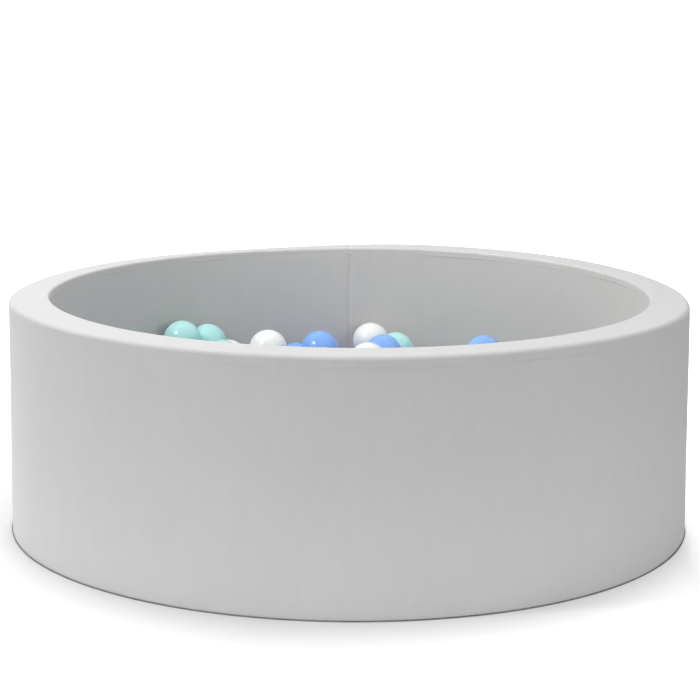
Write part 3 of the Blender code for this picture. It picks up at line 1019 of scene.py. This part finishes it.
def rounded_line(corners):
    """A closed line through corners given as (length, width, radius), with evenly spaced points."""
    points = []
    for number, (along, across, radius) in enumerate(corners):
        here = np.array((along, across))
        before = np.array(corners[number - 1][:2]) - here
        after = np.array(corners[(number + 1) % len(corners)][:2]) - here
        first = here + before / np.linalg.norm(before) * radius
        last = here + after / np.linalg.norm(after) * radius
        for share in np.linspace(0, 1, corner_points):
            points.append((1 - share) ** 2 * first + 2 * share * (1 - share) * here
                          + share ** 2 * last)
    closed = np.array([*points, points[0]])
    run = np.append(0, np.cumsum(np.linalg.norm(np.diff(closed, axis=0), axis=1)))
    even = np.linspace(0, run[-1], round(run[-1] / outline_step), endpoint=False)
    return np.column_stack([np.interp(even, run, closed[:, k]) for k in (0, 1)])


def make_slider(nickel):
    """The zip's slider, and its pull tab: a waisted plate with a rounded eye round the bridge."""
    finish_node("zip_slider", nickel, metal_bevel)
    turn = np.array(Matrix.Rotation(sum(corner_angles("zip_slider")) / 2, 3, "Z"))
    level = points_of(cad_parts["zip_pull"].data) @ turn
    low, high = level.min(axis=0), level.max(axis=0)
    start, end, middle, half = low[1], high[1], (low[2] + high[2]) / 2, (high[2] - low[2]) / 2
    stations = ((start, 1), (start + pull_eye_end, 1), (start + pull_waist_place, pull_waist),
                (end - pull_end_run, 1), (end, 1))
    edge = [(y, width * half, radius) for (y, width), radius in zip(stations, pull_rounds)]
    outline = rounded_line(edge + [(y, -width, radius) for y, width, radius in edge[::-1]])
    near, far = start + pull_eye_start, start + pull_eye_end
    hole = rounded_line([(y, side * pull_eye_half, pull_eye_round)
                         for y, side in ((near, 1), (far, 1), (far, -1), (near, -1))])
    centre = np.array(((near + far) / 2, 0))
    ways = np.arctan2(*(outline - centre).T[::-1])
    hole_ways = np.arctan2(*(hole - centre).T[::-1])
    order = np.argsort(hole_ways)
    hole_reach = np.linalg.norm(hole - centre, axis=1)
    reach = np.interp(ways, hole_ways[order], hole_reach[order], period=full_turn)
    rays = np.column_stack((np.cos(ways), np.sin(ways)))
    inside = centre + rays * reach[:, None]
    along = np.roll(outline, -1, axis=0) - np.roll(outline, 1, axis=0)
    outward = np.column_stack((along[:, 1], -along[:, 0]))
    outward /= np.linalg.norm(along, axis=1)[:, None]
    outward *= np.sign((outward * rays).sum())
    rows = [(outline, low[0] + pull_edge), (outline, high[0] - pull_edge),
            (outline - outward * pull_edge, high[0]), (inside + rays * pull_edge, high[0]),
            (inside, high[0] - pull_edge), (inside, low[0] + pull_edge),
            (inside + rays * pull_edge, low[0]), (outline - outward * pull_edge, low[0])]
    verts = [(x, line[i][0], middle + line[i][1]) for i in range(len(outline)) for line, x in rows]
    faces = tube_faces(len(outline), len(rows), closed=True)
    pull = to_object("zip_pull_tab", np.array(verts) @ turn.T, faces, nickel, smooth=False)
    dress(facing_out(pull), "pull", "zip_metal", "zip_pull")


def seen_rays(tree):
    """1 for camera, glossy and transmission rays, and 0 for those that light the object."""
    path = tree.nodes.new("ShaderNodeLightPath")
    value = path.outputs["Is Camera Ray"]
    for kind in ("Is Glossy Ray", "Is Transmission Ray"):
        value = combine(tree, "MAXIMUM", value, path.outputs[kind])
    return value


def make_stage():
    """A floor that looks white and bounces less light far out. It keeps the object's shadow, but a
    painted glow lightens that shadow towards the right.
    """
    bpy.ops.mesh.primitive_plane_add(size=floor_size, location=(0, 0, 0))
    floor = bpy.context.object
    floor.name = "floor"
    material = bpy.data.materials.new("floor_white")
    material.use_nodes = True
    tree = material.node_tree
    tree.nodes.clear()
    new, link = tree.nodes.new, tree.links.new
    place = new("ShaderNodeTexCoord").outputs["Object"]
    length = new("ShaderNodeVectorMath")
    length.operation = "LENGTH"
    link(place, length.inputs[0])
    away = length.outputs["Value"]
    split = new("ShaderNodeSeparateXYZ")
    link(place, split.inputs[0])
    right = split.outputs["X"]
    bouncing = new("ShaderNodeBsdfDiffuse")
    bounce = map_range(tree, away, floor_near_reach, floor_far_reach, floor_near_shade,
                       floor_far_shade)
    link(bounce, bouncing.inputs["Color"])
    shown = new("ShaderNodeBsdfDiffuse")
    shown.inputs["Color"].default_value = (floor_seen_shade, floor_seen_shade, floor_seen_shade, 1)
    # Painted glow, seen only by camera, glossy and transmission rays: it rises away from the pit
    # and towards the right, and lightens the shadow there
    glow = new("ShaderNodeEmission")
    ways = ((away, floor_painted_glow_away), (right, floor_painted_glow_right), (right, floor_painted_glow_side))
    shares = [map_range(tree, way, start, end, 0, full) for way, (start, end, full) in ways]
    strength = combine(tree, "ADD", combine(tree, "ADD", shares[0], shares[1]), shares[2])
    link(strength, glow.inputs["Strength"])
    seen = new("ShaderNodeAddShader")
    link(shown.outputs[0], seen.inputs[0])
    link(glow.outputs[0], seen.inputs[1])
    either = new("ShaderNodeMixShader")
    link(seen_rays(tree), either.inputs["Fac"])
    link(bouncing.outputs[0], either.inputs[1])
    link(seen.outputs[0], either.inputs[2])
    link(either.outputs[0], new("ShaderNodeOutputMaterial").inputs["Surface"])
    floor.data.materials.append(material)


def place_lamp(name, data, place, direction):
    """Put a lamp in the scene so that its light comes from the given direction."""
    lamp = bpy.data.objects.new(name, data)
    lamp.location = place
    lamp.rotation_mode = "QUATERNION"
    lamp.rotation_quaternion = Vector(direction).to_track_quat("Z", "Y")
    bpy.context.scene.collection.objects.link(lamp)
    return lamp


def make_light():
    """Softboxes round the pit, a soft light from just behind the zenith, and an even sky."""
    for name, place, width, power in lamps:
        box = bpy.data.lights.new(name, "AREA")
        box.energy = power
        box.size = width
        lamp = place_lamp(name, box, place, Vector(place) - Vector(lamp_target))
        lamp.visible_glossy = name in shining_lamps
    zenith = bpy.data.lights.new("zenith", "AREA")
    zenith.shape = "RECTANGLE"
    zenith.size, zenith.size_y = zenith_size
    zenith.energy = zenith_power
    direction = Vector((0, math.sin(zenith_tilt), math.cos(zenith_tilt)))
    place_lamp("zenith", zenith, direction * zenith_distance, direction).visible_glossy = False
    world = bpy.data.worlds.new("studio")
    bpy.context.scene.world = world
    world.use_nodes = True
    tree = world.node_tree
    tree.nodes.clear()
    sky = tree.nodes.new("ShaderNodeBackground")
    sky.inputs["Color"].default_value = (1, 1, 1, 1)
    strength = map_range(tree, seen_rays(tree), 0, 1, sky_strength, seen_sky_strength)
    tree.links.new(strength, sky.inputs["Strength"])
    tree.links.new(sky.outputs[0], tree.nodes.new("ShaderNodeOutputWorld").inputs["Surface"])
    bpy.context.scene.view_settings.view_transform = "Standard"


def make_camera():
    """The photograph's viewpoint."""
    data = bpy.data.cameras.new("camera")
    data.sensor_width = sensor_width
    data.lens = focal_pixels * sensor_width / photo_width
    data.clip_end = floor_size
    camera = bpy.data.objects.new("camera", data)
    look = Matrix.Rotation(full_turn / 4 - camera_pitch, 4, "X")
    roll = Matrix.Rotation(camera_roll, 4, "Z")
    camera.matrix_world = Matrix.Translation(camera_place) @ look @ roll
    bpy.context.scene.collection.objects.link(camera)
    bpy.context.scene.camera = camera


make_camera()
make_stage()
make_light()
velour_cloth = velour("grey_velour", grey)
# The rim's inner edge and the inner cover take the painted warm tint, set against the balls' blue
# bounce light
rim_velour = velour("rim_velour", grey, inside=inner_grey_against_ball_light)
inner_velour = velour("inner_velour", inner_grey_against_ball_light)
under_cloth = dotted_underside()
foam_cells = foam_material()
nickel_plate = metal()
make_covers(velour_cloth, rim_velour, inner_velour, under_cloth)
make_foam(foam_cells)
make_zip(woven("zip_tape_weave", tape_grey, tape_yarn), nylon(), nickel_plate,
         woven("sewing_thread", thread_grey, thread_yarn, thread_roughness))
make_slider(nickel_plate)
make_mat(velour("mat_velour", grey), under_cloth, foam_cells)
make_balls({name: ball_plastic(f"{name}_plastic", colour) for name, colour in ball_colours.items()})
